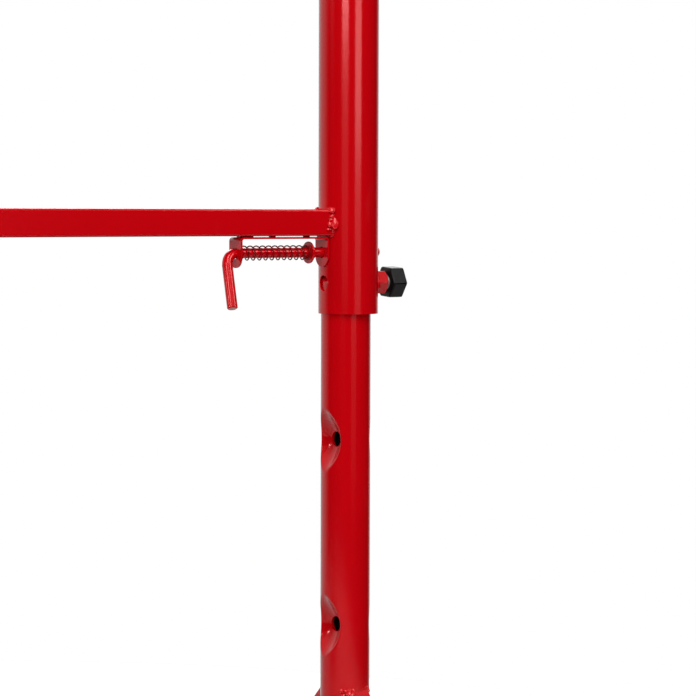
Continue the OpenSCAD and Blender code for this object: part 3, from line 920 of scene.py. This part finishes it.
def square_outline(size):
    """Corners of a square tube's outline, with rounded edges, round the origin."""
    edge = size / 2 - TUBE_CORNER
    outline = []
    for quarter in range(4):
        middle_turn = math.pi / 4 + quarter * math.pi / 2
        centre = (math.copysign(edge, math.cos(middle_turn)), math.copysign(edge, math.sin(middle_turn)))
        for k in range(OUTLINE_STEPS + 1):
            turn = quarter * math.pi / 2 + k / OUTLINE_STEPS * math.pi / 2
            outline.append((centre[0] + TUBE_CORNER * math.cos(turn),
                            centre[1] + TUBE_CORNER * math.sin(turn)))
    return outline


def level_circle(centre, radius):
    """A level circle."""
    return [centre + radius * Vector((math.cos(t), math.sin(t), 0)) for t in circle_turns]


def on_tube(tube, radius, way, y, z):
    """A point on the side of an upright tube, right or left of its axis."""
    return Vector((tube.x + way * math.sqrt(radius ** 2 - y * y), y, z))


rail = middle("lower_rail")
rail_low, rail_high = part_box("lower_rail")
rail_half = (rail_high.z - rail_low.z) / 2
rail_outline = square_outline(2 * rail_half)
print("rail outline:", len(rail_outline), "corners")

# %% Weld the frame
FACE_X, FACE_Z = Vector((1, 0, 0)), Vector((0, 0, 1))
NUT_RING = 0.0096
WELD_DEPTH = 0.0012
RAIL_BEAD, NUT_BEAD, TUBE_TOP_BEAD, STRUT_BEAD = 0.0016, 0.002, 0.0024, 0.002
# Each drop beside the rail: height above the rail's middle, place across the seam, radius, stretch upwards
RAIL_DROPS = [(0.0094, -0.0014, 0.0029, 1.0), (0.0052, -0.0014, 0.0022, 1.1),
              (-0.0008, 0.0016, 0.0031, 2.0), (0.0024, -0.0020, 0.0019, 1.2),
              (-0.0014, -0.0031, 0.0022, 1.5), (-0.0054, -0.0043, 0.0017, 1.0),
              (-0.0046, -0.0008, 0.0018, 1.1)]
RAIL_DROPS_FACE = (-0.4, 0.76, 0.51)
luck = random.Random(7)

for side, way in SIDES.items():
    tube_low, tube_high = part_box(f"outer_tube_{side}")
    tube, tube_radius = middle(f"outer_tube_{side}"), (tube_high.x - tube_low.x) / 2
    tube_top = Vector((tube.x, tube.y, tube_high.z))
    strut, nut = middle(f"strut_{side}"), middle(f"clamp_nut_{side}")
    rail_end = [on_tube(tube, tube_radius, -way, y, rail.z + z) for y, z in rail_outline]
    nut_seat = [on_tube(tube, tube_radius, way, NUT_RING * math.cos(t), nut.z + NUT_RING * math.sin(t))
                for t in circle_turns]
    parts = [bead(rail_end, RAIL_BEAD, FACE_X, luck), bead(nut_seat, NUT_BEAD, FACE_X, luck),
             bead(level_circle(tube_top, tube_radius), TUBE_TOP_BEAD, FACE_Z, luck)]
    strut_low, strut_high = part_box(f"strut_{side}")
    around = square_outline(strut_high.x - strut_low.x)
    for z in (strut_low.z, strut_high.z):
        seat = [Vector((strut.x + x, strut.y + y, z)) for x, y in around]
        parts.append(bead(seat, STRUT_BEAD, FACE_Z, luck))
    for sign in (-1, 1):
        slope = math.asin(rail_half / tube_radius)
        corner = Vector((tube.x - way * tube_radius * math.cos(slope), sign * rail_half, rail.z))
        along_tube = Vector((way * math.sin(slope), sign * math.cos(slope), 0))
        inwards, sideways, upwards = RAIL_DROPS_FACE
        outwards = Vector((inwards * way, sideways * sign, upwards))
        for rise, across, radius, tall in RAIL_DROPS:
            step = across * along_tube if across > 0 else Vector((way * across, 0, 0))
            parts.append(lump(corner + Vector((0, 0, rise)) + step, radius, outwards, tall))
    points, faces = joined(parts)
    points = outside_bore(points, tube, tube_radius - WELD_DEPTH)
    add_piece(f"frame_welds_{side}", points, faces, "frame", "red_powder_coat")

# %% Weld the feet
BRACE_SLOPE = math.radians(45)
LEG_BEAD, BRACE_TOP_BEAD, BRACE_FOOT_BEAD = 0.0026, 0.0014, 0.0022
# Each drop on a brace's top seam: place aside of the leg's middle, height above the seam, radius
BRACE_DROPS = [(-0.0132, -0.0006, 0.0019), (-0.0108, -0.0001, 0.0017), (-0.0078, -0.0002, 0.0018),
               (-0.0070, -0.0030, 0.0025), (-0.0122, -0.0036, 0.0025), (-0.0050, -0.0004, 0.0018),
               (-0.0096, -0.0024, 0.0028), (0.0094, -0.0002, 0.0018), (0.0110, -0.0030, 0.0020)]
BRACE_DROPS_FACE = (-0.4, 0.71, 0.58)
DROP_TILT = 0.2

for side, way in SIDES.items():
    leg_low, leg_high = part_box(f"leg_tube_{side}")
    leg, leg_radius = middle(f"leg_tube_{side}"), (leg_high.x - leg_low.x) / 2
    leg_foot = Vector((leg.x, leg.y, leg_low.z))
    parts = [bead(level_circle(leg_foot, leg_radius), LEG_BEAD, FACE_Z, luck)]
    for end, sign in (("front", -1), ("back", 1)):
        low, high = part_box(f"brace_{end}_{side}")
        half = (high.x - low.x) / 2
        foot_y = max(abs(low.y), abs(high.y)) - half / math.sin(BRACE_SLOPE)
        rise = Vector((0, -sign * math.cos(BRACE_SLOPE), math.sin(BRACE_SLOPE)))
        across = Vector((0, sign * math.sin(BRACE_SLOPE), math.cos(BRACE_SLOPE)))
        start = Vector((leg.x, sign * foot_y, low.z))
        top, foot = [], []
        for x, v in square_outline(2 * half):
            base = start + Vector((x, 0, 0)) + v * across
            top.append(base + rise * (sign * math.sqrt(leg_radius ** 2 - x * x) - base.y) / rise.y)
            foot.append(base + rise * (low.z - base.z) / rise.z)
        parts += [bead(top, BRACE_TOP_BEAD, rise, luck), bead(foot, BRACE_FOOT_BEAD, FACE_Z, luck)]
        seam_z = max(p.z for p in top)
        inwards, sideways, upwards = BRACE_DROPS_FACE
        face = Vector((inwards * way, sideways * sign, upwards))
        for aside, above, radius in BRACE_DROPS:
            ahead = max(-above, 0) if abs(aside) < half else 0
            out = math.sqrt(leg_radius ** 2 - aside ** 2) + ahead
            place = Vector((leg.x - sign * way * aside, sign * out, seam_z + above))
            tilt = Vector([luck.uniform(-DROP_TILT, DROP_TILT) for _ in range(3)])
            parts.append(lump(place, radius, (tilt + face).normalized()))
    add_piece(f"leg_welds_{side}", *joined(parts), f"leg_{side}", "red_powder_coat")

# %% [markdown]
# ## The size of the dressed part
# The looks must not make the trestle bigger. The box of the solids and the box of everything that shows are
# written side by side, so that a piece that stands out too far is found at once.

# %% Compare the boxes
import json
